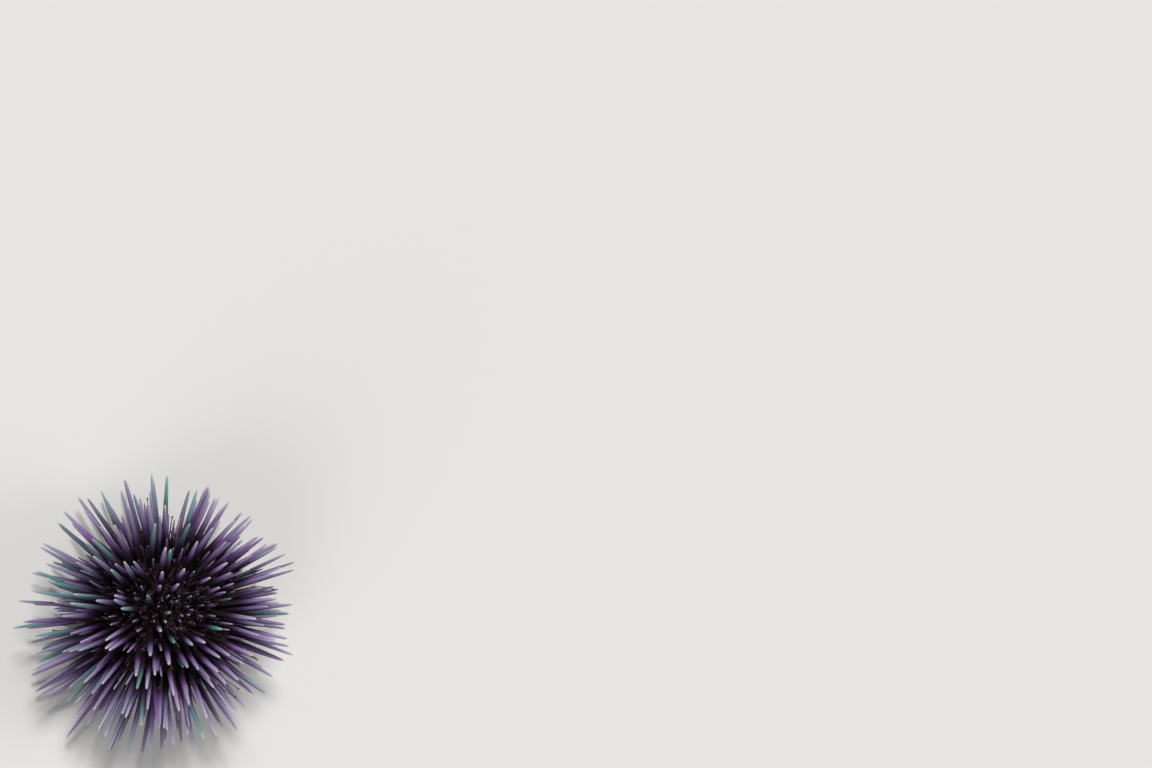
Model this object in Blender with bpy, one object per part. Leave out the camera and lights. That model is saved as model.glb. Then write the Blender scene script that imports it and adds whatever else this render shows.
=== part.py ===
# Purple sea urchin, life size: the round test in its ten bands, each with its own spines,
# the apical disc on top, and the mouth membrane with five teeth underneath.
# Metres, +Z up. The animal stands on the tips of its lower spines, which end flat at z = 0.
import math
import random

import bmesh
import bpy
import numpy as np
from mathutils import Matrix, Vector

MM = 0.001

# The test, a round shell that is flatter underneath
TEST_RADIUS = 24 * MM
TEST_RISE = 15.5 * MM  # widest level to the top
TEST_DROP = 9.5 * MM  # widest level to the underside
UNDERSIDE_GAP = 7 * MM  # floor to the underside
LEVEL = UNDERSIDE_GAP + TEST_DROP  # height of the widest level
UNDERSIDE_POWER = 0.8  # below 1 flattens the underside
MERIDIAN_STEPS = 13
MERIDIAN_SAMPLES = 400  # for measuring along the meridian
NORMAL_STEP = 0.01

# Its fivefold bands
BANDS = 5
AMBULACRUM_HALF = math.radians(14)
INTERAMBULACRUM_HALF = math.radians(22)
FIRST_BAND_AZIMUTH = math.radians(100)
AMBULACRUM_STEPS = 4
INTERAMBULACRUM_STEPS = 6

# Round places for the apical disc and the mouth membrane
APICAL_RADIUS = 4.4 * MM
APICAL_DEPTH = 2.0 * MM
APICAL_CROWN = 0.8 * MM  # above the rim, in the middle
APICAL_SHOULDER = 0.6 * MM  # above the rim, at 0.55 of the radius
APICAL_FACETS = 20
BOSS_RADII = (1.15 * MM, 0.6 * MM)  # genital plates, at the foot and the top
BOSS_HEIGHT = 1.2 * MM
BOSS_PLACE = 2.2 * MM
MOUTH_RADIUS = 8.5 * MM
MOUTH_DEPTH = 2.2 * MM
MOUTH_FACETS = 25
OPENING_RADIUS = 2.7 * MM
OPENING_DEPTH = 0.6 * MM
LIP_WIDTH = 1.3 * MM
LIP_DROP = 0.9 * MM
MOUTH_FOOT_RADII = (0.75 * MM, 0.5 * MM)
MOUTH_FOOT_LENGTH = 2.6 * MM
MOUTH_FOOT_PLACE = 6.2 * MM
MOUTH_FOOT_TURN = math.radians(12)  # each side of its ambulacrum's middle
TOOTH_LENGTH = 3.4 * MM
TOOTH_WIDTH = 1.15 * MM
TOOTH_THICKNESS = 0.8 * MM
TOOTH_PLACE = 1.45 * MM
TOOTH_LEAN = 0.75 * MM  # in to the middle at the point
TOOTH_NARROWS = (0.3, 0.45)  # share of its thickness and of its width lost at the point
GAP = 0.3 * MM  # between pieces that touch
WELD = 0.01 * MM

# Spines
LONGEST_SPINE = 26.5 * MM
LENGTH_VARIES = (0.86, 1.08)
SMALL_LENGTH = (0.45, 0.68)  # of a large spine's
LARGE_RADIUS = (0.84 * MM, 1.12 * MM)
SMALL_RADIUS = (0.52 * MM, 0.68 * MM)
LARGE_SIDES = 5
SMALL_SIDES = 4
LARGE_SHARE = 0.62
TIP_SHARE = 0.4  # radius where the point begins, of the root's
POINT_SHARE = 0.08  # length of the point, of the spine's
ROOT_DEPTH = 1.6 * MM
ROW_SPACING = 2.8 * MM
ACROSS_SPACING = 3.0 * MM
APICAL_MARGIN = 1.3 * MM
MOUTH_MARGIN = 2.3 * MM
SIDE_MARGIN = 1.15 * MM
ROOT_COVER = 0.12 * MM  # of band round a sunk root
CROWDED_RADIUS = 12 * MM  # bands are narrow inside this, so their spines are thinner and closer
CROWDING = 0.7
ROOT_SCATTER = 0.28 * MM
LONE_ROOM = 0.4  # a row with less room than this share of the spacing has one spine
DISC_SPINES = ((2.9 * MM, 7), (1.2 * MM, 3))  # radius of each ring on the disc and its count
DISC_SPINE_LENGTH = (5.5 * MM, 10 * MM)
DISC_SPINE_RISE = 0.3 * MM
DISC_SPINE_POLAR = (5, 12)  # degrees in the middle, and added at the edge
DISC_SPINE_TURN = 0.2

# Bundles that neighbouring spines lean into: polar angle, count round the body
BUNDLE_RINGS = ((16, 5), (37, 11), (60, 17), (107, 18), (129, 13), (150, 8))
RIM_POLAR = 85
RIM_AZIMUTHS = (
    5, 19, 34, 46, 62, 76, 94, 102, 113, 131, 146, 164, 188, 199, 210, 226, 247,
    268, 275, 286, 301, 320, 337, 353,
)
BUNDLE_SCATTER = 4.0
PULL = (0.38, 0.72)
BUNDLE_LENGTHS = (0.84, 1.1)
OVAL = 0.045  # spines are longer by this share along Y, and shorter along X
SCATTER = math.radians(4.5)
CLEARANCE = 0.32 * MM
ROUNDS = 16
RELAX = 0.6

# Feet: the lower spines that reach the floor
FOOT_SHARE = 0.42
FOOT_STEEPNESS = 0.5
FOOT_REACH = 0.8  # of the way to the floor, at least
SHORT_OF_FLOOR = (0.66, 0.86)
SEED = 11

VIOLET = (0.13, 0.075, 0.22)
PURPLE = (0.17, 0.10, 0.29)
DARK_PURPLE = (0.035, 0.012, 0.03)
MEMBRANE = (0.16, 0.05, 0.06)
TOOTH_WHITE = (0.75, 0.72, 0.62)


def material(name, colour, roughness):
    made = bpy.data.materials.new(name)
    made.use_nodes = True
    shader = made.node_tree.nodes["Principled BSDF"]
    shader.inputs["Base Color"].default_value = (*colour, 1)
    shader.inputs["Roughness"].default_value = roughness
    return made


def meridian(t):
    """Radius and height of the test at angle t from its top, 0 to pi."""
    if t <= math.pi / 2:
        return TEST_RADIUS * math.sin(t), LEVEL + TEST_RISE * math.cos(t)
    across, down = max(math.sin(t), 0.0), -math.cos(t)
    return TEST_RADIUS * across**UNDERSIDE_POWER, LEVEL - TEST_DROP * down**UNDERSIDE_POWER


APICAL_ANGLE = math.asin(APICAL_RADIUS / TEST_RADIUS)
MOUTH_ANGLE = math.pi - math.asin((MOUTH_RADIUS / TEST_RADIUS) ** (1 / UNDERSIDE_POWER))
APICAL_RIM = meridian(APICAL_ANGLE)[1]
MOUTH_RIM = meridian(MOUTH_ANGLE)[1]


def spine_polar(t):
    """Angle from straight up of a spine rooted at angle t, half way from the normal to a full fan."""
    radius, height = meridian(t)
    fan = math.atan2(radius, height - LEVEL)
    ahead, behind = meridian(t + NORMAL_STEP), meridian(t - NORMAL_STEP)
    normal = math.atan2(behind[1] - ahead[1], ahead[0] - behind[0])
    return 0.5 * (fan + normal)


def spine_length(t):
    """Short round the apical disc, longest just above the widest level, and short again underneath."""
    angles = (10, 25, 50, 85, 110, 130, 160)
    shares = (0.55, 0.74, 0.92, 1.0, 0.95, 0.8, 0.55)
    return LONGEST_SPINE * float(np.interp(math.degrees(t), angles, shares))


def toward(polar, azimuth):
    return Vector((math.sin(polar) * math.cos(azimuth), math.sin(polar) * math.sin(azimuth), math.cos(polar)))


def bundle(rng, polar, azimuth):
    """A direction that spines gather round, with the length they share."""
    longer = 1 - OVAL * math.cos(2 * math.radians(azimuth))
    return toward(math.radians(polar), math.radians(azimuth)), longer * rng.uniform(*BUNDLE_LENGTHS)


def bundles(rng):
    """A ring of bundles at the rim, and others above and below."""
    made = []
    for azimuth in RIM_AZIMUTHS:
        made.append(bundle(rng, RIM_POLAR + rng.uniform(-BUNDLE_SCATTER, BUNDLE_SCATTER), azimuth))
    for ring, count in BUNDLE_RINGS:
        start = rng.uniform(0, 360)
        for step in range(count):
            polar = ring + rng.uniform(-BUNDLE_SCATTER, BUNDLE_SCATTER)
            azimuth = start + 360 * step / count + rng.uniform(-BUNDLE_SCATTER, BUNDLE_SCATTER)
            made.append(bundle(rng, polar, azimuth))
    return made


def meridian_rows():
    """Angles of the rows of spines, evenly spaced along the meridian."""
    fine = np.linspace(APICAL_ANGLE, MOUTH_ANGLE, MERIDIAN_SAMPLES)
    path = np.array([meridian(t) for t in fine])
    run = np.concatenate([[0], np.cumsum(np.hypot(*np.diff(path, axis=0).T))])
    last = run[-1] - MOUTH_MARGIN
    stops = np.linspace(APICAL_MARGIN, last, 1 + round((last - APICAL_MARGIN) / ROW_SPACING))
    return [float(t) for t in np.interp(stops, run, fine)]


def band_list():
    """Name, azimuth, half angle and facets of the ten bands."""
    made = []
    for number in range(1, BANDS + 1):
        azimuth = FIRST_BAND_AZIMUTH + (number - 1) * 2 * math.pi / BANDS
        made.append((f"ambulacrum_{number}", azimuth, AMBULACRUM_HALF, AMBULACRUM_STEPS))
        between = azimuth + math.pi / BANDS
        made.append((f"interambulacrum_{number}", between, INTERAMBULACRUM_HALF, INTERAMBULACRUM_STEPS))
    return made


def crowding(radius):
    """Share of the full size and spacing that spines have at this distance from the axis."""
    return min(1.0, CROWDING + (1 - CROWDING) * radius / CROWDED_RADIUS)


def across_places(t, half, row):
    """Azimuths across a band at angle t, staggered from row to row."""
    radius = meridian(t)[0]
    spacing = ACROSS_SPACING * crowding(radius)
    room = radius * half - SIDE_MARGIN * crowding(radius)
    if room < LONE_ROOM * spacing:
        return [0.0]
    count = 1 + round(2 * room / spacing)
    step = 2 * room / (count - 1)
    if row % 2:
        count -= 1
    return [(place - (count - 1) / 2) * step / radius for place in range(count)]


def band_spines(rng, owner, azimuth, half):
    """The spines of one band before they're kept clear of each other."""
    made = []
    for row, t in enumerate(meridian_rows()):
        for offset in across_places(t, half, row):
            large = rng.random() < LARGE_SHARE
            radius, height = meridian(t)
            thick = rng.uniform(*(LARGE_RADIUS if large else SMALL_RADIUS)) * crowding(radius)
            length = spine_length(t) * rng.uniform(*LENGTH_VARIES)
            if not large:
                length *= rng.uniform(*SMALL_LENGTH)
            slide = rng.uniform(-ROOT_SCATTER, ROOT_SCATTER) / TEST_RADIUS
            offset += rng.uniform(-ROOT_SCATTER, ROOT_SCATTER) / max(radius, CROWDED_RADIUS)
            widest = max(0.0, half - (thick + GAP + ROOT_COVER) / radius)
            turn = azimuth + min(max(offset, -widest), widest)
            radius, height = meridian(t + slide)
            made.append(
                {
                    "owner": owner,
                    "sector": (azimuth, half),
                    "large": large,
                    "root": Vector((radius * math.cos(turn), radius * math.sin(turn), height)),
                    "straight": toward(spine_polar(t), turn),
                    "radius": thick,
                    "length": length,
                    "foot": rng.random() < FOOT_SHARE,
                    "short": rng.uniform(*SHORT_OF_FLOOR),
                }
            )
    return made


def disc_spines(rng, owner):
    made = []
    height = APICAL_RIM + DISC_SPINE_RISE
    middle, added = DISC_SPINE_POLAR
    for ring, count in DISC_SPINES:
        for step in range(count):
            turn = 2 * math.pi * (step + rng.uniform(-DISC_SPINE_TURN, DISC_SPINE_TURN)) / count
            made.append(
                {
                    "owner": owner,
                    "sector": None,
                    "large": False,
                    "root": Vector((ring * math.cos(turn), ring * math.sin(turn), height)),
                    "straight": toward(math.radians(middle + added * ring / APICAL_RADIUS), turn),
                    "radius": SMALL_RADIUS[0],
                    "length": rng.uniform(*DISC_SPINE_LENGTH),
                    "foot": False,
                    "short": 1.0,
                }
            )
    return made


def lean_into_bundles(rng, spines):
    """Each spine leans some way to the nearest bundle and a little at random."""
    gathered = bundles(rng)
    for spine in spines:
        straight = spine["straight"]
        nearest, longer = max(gathered, key=lambda pair: straight.dot(pair[0]))
        stray = Vector([rng.gauss(0, SCATTER) for _ in range(3)])
        spine["lean"] = rng.uniform(*PULL) * (nearest - straight) + stray
        spine["length"] *= longer
        spine["ease"] = 1.0


def settle(spine):
    """Direction, and length to the tip or to the floor, from the lean that is left."""
    aim = (spine["straight"] + spine["ease"] * spine["lean"]).normalized()
    reach, on_floor = spine["length"], False
    if aim.z < 0:
        to_floor = spine["root"].z / -aim.z
        if spine["foot"] and aim.z < -FOOT_STEEPNESS and reach > FOOT_REACH * to_floor:
            reach, on_floor = to_floor, True
        else:
            reach = min(reach, to_floor * spine["short"])
    spine["aim"], spine["reach"], spine["on_floor"] = aim, reach, on_floor


def seated(spine):
    """True where the sunk root stays inside its own band, clear of its sides and of the two seats."""
    if not spine["sector"]:
        return True
    azimuth, half = spine["sector"]
    end = spine["root"] - spine["aim"] * ROOT_DEPTH
    cover = spine["radius"] + ROOT_COVER
    across = abs(math.remainder(math.atan2(end.y, end.x) - azimuth, 2 * math.pi))
    radius = math.hypot(end.x, end.y)
    if radius * math.sin(half - across) < cover + GAP / 2:
        return False
    if end.z > APICAL_RIM - APICAL_DEPTH - cover and radius < APICAL_RADIUS + cover:
        return False
    return end.z > MOUTH_RIM + MOUTH_DEPTH + cover or radius > MOUTH_RADIUS + cover


def clashes(spines):
    """Pairs of spines nearer than their radii and the clearance, taken as straight and tapered."""
    roots = np.array([s["root"] for s in spines])
    runs = np.array([s["aim"] * s["reach"] for s in spines])
    thick = np.array([s["radius"] for s in spines])
    one, two = np.triu_indices(len(spines), 1)
    p, u, q, v = roots[one], runs[one], roots[two], runs[two]
    apart = p - q
    uu, vv, uv = (u * u).sum(1), (v * v).sum(1), (u * v).sum(1)
    ua, va = (u * apart).sum(1), (v * apart).sum(1)
    s = np.clip((uv * va - ua * vv) / np.maximum(uu * vv - uv * uv, 1e-18), 0, 1)
    t = (uv * s + va) / vv
    s = np.where(t < 0, np.clip(-ua / uu, 0, 1), np.where(t > 1, np.clip((uv - ua) / uu, 0, 1), s))
    t = np.clip(t, 0, 1)
    between = np.linalg.norm(apart + s[:, None] * u - t[:, None] * v, axis=1)
    taper = 1 - TIP_SHARE
    wanted = thick[one] * (1 - taper * s) + thick[two] * (1 - taper * t) + CLEARANCE
    return [(int(a), int(b)) for a, b in zip(one[between < wanted], two[between < wanted])]


def keep_clear(spines):
    """Straightens spines that clash, then drops the smaller of any pair that still does."""
    for _ in range(ROUNDS):
        for spine in spines:
            settle(spine)
        found = {index for pair in clashes(spines) for index in pair}
        found |= {index for index, spine in enumerate(spines) if not seated(spine)}
        if not found:
            break
        for index in found:
            spines[index]["ease"] *= RELAX
    dropped = {index for index, spine in enumerate(spines) if not seated(spine)}
    for one, two in clashes(spines):
        if one not in dropped and two not in dropped:
            dropped.add(min(one, two, key=lambda index: spines[index]["radius"] * spines[index]["reach"]))
    return [spine for index, spine in enumerate(spines) if index not in dropped]


def all_spines():
    """Every spine of the animal, set so that its tips span evenly about the origin."""
    rng = random.Random(SEED)
    spines = []
    for owner, azimuth, half, _ in band_list():
        spines += band_spines(rng, owner, azimuth, half)
    spines += disc_spines(rng, "apical_disc")
    lean_into_bundles(rng, spines)
    spines = keep_clear(spines)
    tips = np.array([s["root"] + s["aim"] * s["reach"] for s in spines])
    middle = (tips.max(0) + tips.min(0)) / 2
    return spines, Vector((middle[0], middle[1], 0))


def spine_mesh(spine):
    """A tapered, pointed spine with its root sunk in, or one that ends flat on the floor."""
    bm = bmesh.new()
    sides = LARGE_SIDES if spine["large"] else SMALL_SIDES
    radius, reach = spine["radius"], spine["reach"]
    point = 0 if spine["on_floor"] else POINT_SHARE * reach
    depth = reach - point + ROOT_DEPTH
    bmesh.ops.create_cone(
        bm, cap_ends=True, segments=sides, radius1=radius, radius2=TIP_SHARE * radius, depth=depth
    )
    bmesh.ops.translate(bm, verts=bm.verts, vec=(0, 0, depth / 2 - ROOT_DEPTH))
    end = max(bm.faces, key=lambda face: face.calc_center_median().z)
    ring = list(end.verts)
    if point:
        bmesh.ops.poke(bm, faces=[end], offset=point)
    turn = spine["aim"].to_track_quat("Z", "Y").to_matrix().to_4x4()
    bmesh.ops.transform(bm, verts=bm.verts, matrix=Matrix.Translation(spine["root"]) @ turn)
    if spine["on_floor"]:
        for vert in ring:
            vert.co -= spine["aim"] * (vert.co.z / spine["aim"].z)
    return bm


def placed(bm, name, collection):
    mesh = bpy.data.meshes.new(name)
    bm.to_mesh(mesh)
    bm.free()
    made = bpy.data.objects.new(name, mesh)
    collection.objects.link(made)
    return made


def largest_surface(mesh):
    """Leaves only the largest closed surface of a mesh."""
    bm = bmesh.new()
    bm.from_mesh(mesh)
    left, islands = set(bm.verts), []
    while left:
        island, edge = set(), {left.pop()}
        while edge:
            island |= edge
            edge = {e.other_vert(v) for v in edge for e in v.link_edges} - island
        left -= island
        islands.append(island)
    keep = max(islands, key=len)
    bmesh.ops.delete(bm, geom=[v for v in bm.verts if v not in keep], context="VERTS")
    bm.to_mesh(mesh)
    bm.free()


def fuse(body, pieces, helpers):
    """Joins closed pieces to a body in one union and removes them."""
    group = bpy.data.collections.new(f"{body.name}_pieces")
    helpers.children.link(group)
    for number, bm in enumerate(pieces):
        placed(bm, f"{body.name}_piece_{number}", group).display_type = "WIRE"
    union = body.modifiers.new("union", "BOOLEAN")
    union.operation = "UNION"
    union.operand_type = "COLLECTION"
    union.collection = group
    union.solver = "EXACT"
    bpy.context.view_layer.update()
    graph = bpy.context.evaluated_depsgraph_get()
    joined = bpy.data.meshes.new_from_object(body.evaluated_get(graph))
    body.modifiers.clear()
    old, body.data = body.data, joined
    joined.name = body.name
    bpy.data.meshes.remove(old)
    for piece in list(group.objects):
        bpy.data.meshes.remove(piece.data)
    bpy.data.collections.remove(group)
    largest_surface(joined)


def band_outline():
    """Half section of the test with the seats of the apical disc and the mouth membrane cut back."""
    points = [(0, APICAL_RIM - APICAL_DEPTH), (APICAL_RADIUS, APICAL_RIM - APICAL_DEPTH)]
    for step in range(MERIDIAN_STEPS):
        points.append(meridian(APICAL_ANGLE + (MOUTH_ANGLE - APICAL_ANGLE) * step / (MERIDIAN_STEPS - 1)))
    points.append((MOUTH_RADIUS, MOUTH_RIM + MOUTH_DEPTH))
    points.append((0, MOUTH_RIM + MOUTH_DEPTH))
    return points


def band_solid(half, steps):
    """A slice of the turned section, with its inner edge set out so that neighbours keep GAP."""
    bm = bmesh.new()
    set_out = GAP / 2 / math.sin(half)
    ring = [bm.verts.new((max(r - set_out, 0), 0, z)) for r, z in band_outline()]
    face = bm.faces.new(ring)
    bmesh.ops.rotate(bm, verts=ring, cent=(0, 0, 0), matrix=Matrix.Rotation(-half, 3, "Z"))
    bmesh.ops.spin(
        bm, geom=[face, *face.edges, *ring], axis=(0, 0, 1), cent=(0, 0, 0), angle=2 * half, steps=steps
    )
    bmesh.ops.remove_doubles(bm, verts=bm.verts, dist=WELD)
    bmesh.ops.translate(bm, verts=bm.verts, vec=(set_out, 0, 0))
    bmesh.ops.recalc_face_normals(bm, faces=bm.faces)
    return bm


def turned(outline, steps):
    """A full turn of an outline that starts and ends on the axis."""
    bm = bmesh.new()
    ring = [bm.verts.new((r, 0, z)) for r, z in outline]
    edges = [bm.edges.new(pair) for pair in zip(ring, ring[1:])]
    bmesh.ops.spin(bm, geom=[*ring, *edges], axis=(0, 0, 1), cent=(0, 0, 0), angle=2 * math.pi, steps=steps)
    bmesh.ops.remove_doubles(bm, verts=bm.verts, dist=WELD)
    bmesh.ops.recalc_face_normals(bm, faces=bm.faces)
    return bm


def spin_about_z(bm, angle):
    bmesh.ops.rotate(bm, verts=bm.verts, cent=(0, 0, 0), matrix=Matrix.Rotation(angle, 3, "Z"))


def apical_body():
    rim = APICAL_RADIUS - GAP
    seat = APICAL_RIM - APICAL_DEPTH + GAP
    shoulder = (0.55 * rim, APICAL_RIM + APICAL_SHOULDER)
    crown = (0, APICAL_RIM + APICAL_CROWN)
    return turned([(0, seat), (rim, seat), (rim, APICAL_RIM), shoulder, crown], APICAL_FACETS)


def genital_plates():
    """Five low bosses in a ring round the middle of the disc."""
    made = []
    for number in range(BANDS):
        bm = bmesh.new()
        bmesh.ops.create_cone(
            bm, cap_ends=True, segments=6, radius1=BOSS_RADII[0], radius2=BOSS_RADII[1], depth=BOSS_HEIGHT
        )
        bmesh.ops.translate(bm, verts=bm.verts, vec=(BOSS_PLACE, 0, APICAL_RIM + BOSS_HEIGHT / 3))
        spin_about_z(bm, FIRST_BAND_AZIMUTH + (number + 0.5) * 2 * math.pi / BANDS)
        made.append(bm)
    return made


def mouth_membrane_body():
    rim = MOUTH_RADIUS - GAP
    seat = MOUTH_RIM + MOUTH_DEPTH - GAP
    return turned(
        [
            (0, MOUTH_RIM + OPENING_DEPTH),
            (OPENING_RADIUS, MOUTH_RIM + OPENING_DEPTH),
            (OPENING_RADIUS + 0.15 * LIP_WIDTH, MOUTH_RIM - 0.9 * LIP_DROP),
            (OPENING_RADIUS + LIP_WIDTH, MOUTH_RIM - LIP_DROP),
            (OPENING_RADIUS + 1.6 * LIP_WIDTH, MOUTH_RIM - 0.1 * LIP_DROP),
            (rim, MOUTH_RIM + 0.2 * LIP_DROP),
            (rim, seat),
            (0, seat),
        ],
        MOUTH_FACETS,
    )


def mouth_feet():
    """Five pairs of stubby tube feet round the mouth."""
    made = []
    for number in range(2 * BANDS):
        bm = bmesh.new()
        bmesh.ops.create_cone(
            bm,
            cap_ends=True,
            segments=6,
            radius1=MOUTH_FOOT_RADII[0],
            radius2=MOUTH_FOOT_RADII[1],
            depth=MOUTH_FOOT_LENGTH,
        )
        height = MOUTH_RIM - 0.2 * MOUTH_FOOT_LENGTH
        bmesh.ops.translate(bm, verts=bm.verts, vec=(MOUTH_FOOT_PLACE, 0, height))
        pair = number // 2
        side = 1 if number % 2 else -1
        spin_about_z(bm, FIRST_BAND_AZIMUTH + pair * 2 * math.pi / BANDS + side * MOUTH_FOOT_TURN)
        made.append(bm)
    return made


def tooth(number):
    """A chisel-ended tooth that leans in to the middle of the mouth."""
    bm = bmesh.new()
    bmesh.ops.create_cube(bm, size=1)
    bmesh.ops.scale(bm, verts=bm.verts, vec=(TOOTH_THICKNESS, TOOTH_WIDTH, TOOTH_LENGTH))
    upright = [e for e in bm.edges if abs(e.verts[0].co.z - e.verts[1].co.z) > TOOTH_LENGTH / 2]
    bmesh.ops.subdivide_edges(bm, edges=upright, cuts=2)
    for vert in bm.verts:
        down = max(0.0, 0.5 - vert.co.z / TOOTH_LENGTH)
        vert.co.x *= 1 - TOOTH_NARROWS[0] * down
        vert.co.y *= 1 - TOOTH_NARROWS[1] * down
        vert.co.x += TOOTH_PLACE - TOOTH_LEAN * down**1.6
    top = MOUTH_RIM + OPENING_DEPTH - GAP
    bmesh.ops.translate(bm, verts=bm.verts, vec=(0, 0, top - TOOTH_LENGTH / 2))
    spin_about_z(bm, FIRST_BAND_AZIMUTH + (number - 0.5) * 2 * math.pi / BANDS)
    return bm


def main():
    for old in list(bpy.data.objects):
        bpy.data.objects.remove(old)
    urchin = bpy.data.collections.new("purple_sea_urchin")
    helpers = bpy.data.collections.new("helpers")
    helpers.hide_render = True
    bpy.context.scene.collection.children.link(urchin)
    bpy.context.scene.collection.children.link(helpers)
    looks = {
        "ambulacrum": material("ambulacral_spines", VIOLET, 0.5),
        "interambulacrum": material("interambulacral_spines", PURPLE, 0.5),
        "apical_disc": material("apical_plates", DARK_PURPLE, 0.6),
        "mouth_membrane": material("mouth_membrane", MEMBRANE, 0.5),
        "tooth": material("teeth", TOOTH_WHITE, 0.35),
    }
    spines, middle = all_spines()

    for name, azimuth, half, steps in band_list():
        bm = band_solid(half, steps)
        spin_about_z(bm, azimuth)
        fuse(placed(bm, name, urchin), [spine_mesh(s) for s in spines if s["owner"] == name], helpers)

    disc = placed(apical_body(), "apical_disc", urchin)
    fuse(disc, genital_plates() + [spine_mesh(s) for s in spines if s["owner"] == disc.name], helpers)
    fuse(placed(mouth_membrane_body(), "mouth_membrane", urchin), mouth_feet(), helpers)
    for number in range(1, BANDS + 1):
        placed(tooth(number), f"tooth_{number}", urchin)

    for node in urchin.objects:
        node.data.transform(Matrix.Translation(-middle))
        kind = node.name if node.name in looks else node.name.rsplit("_", 1)[0]
        node.data.materials.clear()
        node.data.materials.append(looks[kind])


main()
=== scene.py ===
import random
from math import acos, asin, atan2, ceil, cos, degrees, hypot, pi, radians, remainder, sin, sqrt, tau

import bmesh
import bpy
import numpy as np
from mathutils import Matrix, Vector


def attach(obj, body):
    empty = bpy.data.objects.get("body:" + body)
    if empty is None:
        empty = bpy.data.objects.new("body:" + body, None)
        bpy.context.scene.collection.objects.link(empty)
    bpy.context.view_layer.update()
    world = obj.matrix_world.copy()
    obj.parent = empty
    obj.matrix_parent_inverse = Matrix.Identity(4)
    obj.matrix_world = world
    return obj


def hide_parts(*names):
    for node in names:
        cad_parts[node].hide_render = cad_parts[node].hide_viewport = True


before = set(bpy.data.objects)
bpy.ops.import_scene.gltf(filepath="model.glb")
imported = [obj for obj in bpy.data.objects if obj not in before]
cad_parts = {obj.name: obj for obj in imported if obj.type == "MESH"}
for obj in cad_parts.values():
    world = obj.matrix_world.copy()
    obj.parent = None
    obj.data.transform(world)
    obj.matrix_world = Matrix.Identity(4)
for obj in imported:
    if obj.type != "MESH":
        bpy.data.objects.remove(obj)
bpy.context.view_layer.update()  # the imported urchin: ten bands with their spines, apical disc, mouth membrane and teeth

mm = 0.001
anyTurn = 6.28  # radians, for a random turn

# Sizes of the body, the same as the solids'
body = {
    "testRadius": 24 * mm,
    "testRise": 15.5 * mm,
    "testDrop": 9.5 * mm,
    "level": 16.5 * mm,
    "undersidePower": 0.8,
    "bands": 5,
    "ambulacrumHalf": radians(14),
    "interambulacrumHalf": radians(22),
    "firstAzimuth": radians(100),
    "apicalRadius": 4.4 * mm,
    "apicalDepth": 2.0 * mm,
    "mouthRadius": 8.5 * mm,
    "mouthDepth": 2.2 * mm,
    "gap": 0.3 * mm,
}
bandNumbers = range(1, body["bands"] + 1)

# How the main spines are laid out, the same as the solids'
layout = {
    "longest": 26.5 * mm,
    "lengthVaries": (0.86, 1.08),
    "smallLength": (0.45, 0.68),
    "largeRadius": (0.84 * mm, 1.12 * mm),
    "smallRadius": (0.52 * mm, 0.68 * mm),
    "largeShare": 0.62,
    "tipShare": 0.4,
    "rootDepth": 1.6 * mm,
    "rowSpacing": 2.8 * mm,
    "acrossSpacing": 3.0 * mm,
    "leastRoom": 0.4,  # of the spacing, or a row has one spine
    "apicalMargin": 1.3 * mm,
    "mouthMargin": 2.3 * mm,
    "sideMargin": 1.15 * mm,
    "rootCover": 0.12 * mm,
    "crowdedRadius": 12 * mm,
    "crowding": 0.7,
    "rootScatter": 0.28 * mm,
    "discSpines": ((2.9 * mm, 7), (1.2 * mm, 3)),
    "discLength": (5.5 * mm, 10 * mm),
    "discScatter": 0.2,
    "discTilt": (5, 12),
    "discLift": 0.3 * mm,
    "rings": ((16, 5), (37, 11), (60, 17), (107, 18), (129, 13), (150, 8)),
    "rimPolar": 85,
    "rimAzimuths": (
        5, 19, 34, 46, 62, 76, 94, 102, 113, 131, 146, 164, 188, 199, 210, 226, 247,
        268, 275, 286, 301, 320, 337, 353,
    ),
    "bundleScatter": 4.0,
    "pull": (0.38, 0.72),
    "bundleLengths": (0.84, 1.1),
    "oval": 0.045,
    "scatter": radians(4.5),
    "clearance": 0.32 * mm,
    "rounds": 16,
    "relax": 0.6,
    "footShare": 0.42,
    "footSteepness": 0.5,
    "footReach": 0.8,  # of the way to the floor, at least
    "shortOfFloor": (0.66, 0.86),
    "seed": 11,
}


def meridian(t):  # radius and height of the test at angle t from its top
    if t <= pi / 2:
        return body["testRadius"] * sin(t), body["level"] + body["testRise"] * cos(t)
    across, down = max(sin(t), 0.0), -cos(t)
    power = body["undersidePower"]
    return body["testRadius"] * across**power, body["level"] - body["testDrop"] * down**power


apicalAngle = asin(body["apicalRadius"] / body["testRadius"])
mouthAngle = pi - asin((body["mouthRadius"] / body["testRadius"]) ** (1 / body["undersidePower"]))
apicalRim = meridian(apicalAngle)[1]
mouthRim = meridian(mouthAngle)[1]


def roundAxis(radius, turn, height):
    return Vector((radius * cos(turn), radius * sin(turn), height))


def onTest(t, turn):  # the point of the test at angle t from its top
    radius, height = meridian(t)
    return roundAxis(radius, turn, height)


def outwardPolar(t):  # half way from the normal to a full fan
    radius, height = meridian(t)
    fan = atan2(radius, height - body["level"])
    ahead, behind = meridian(t + 0.01), meridian(t - 0.01)
    return 0.5 * (fan + atan2(behind[1] - ahead[1], ahead[0] - behind[0]))


def spineLength(t):
    angles = (10, 25, 50, 85, 110, 130, 160)
    shares = (0.55, 0.74, 0.92, 1.0, 0.95, 0.8, 0.55)
    return layout["longest"] * float(np.interp(degrees(t), angles, shares))


def toward(polar, azimuth):
    across = sin(polar)
    return Vector((across * cos(azimuth), across * sin(azimuth), cos(polar)))


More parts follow.
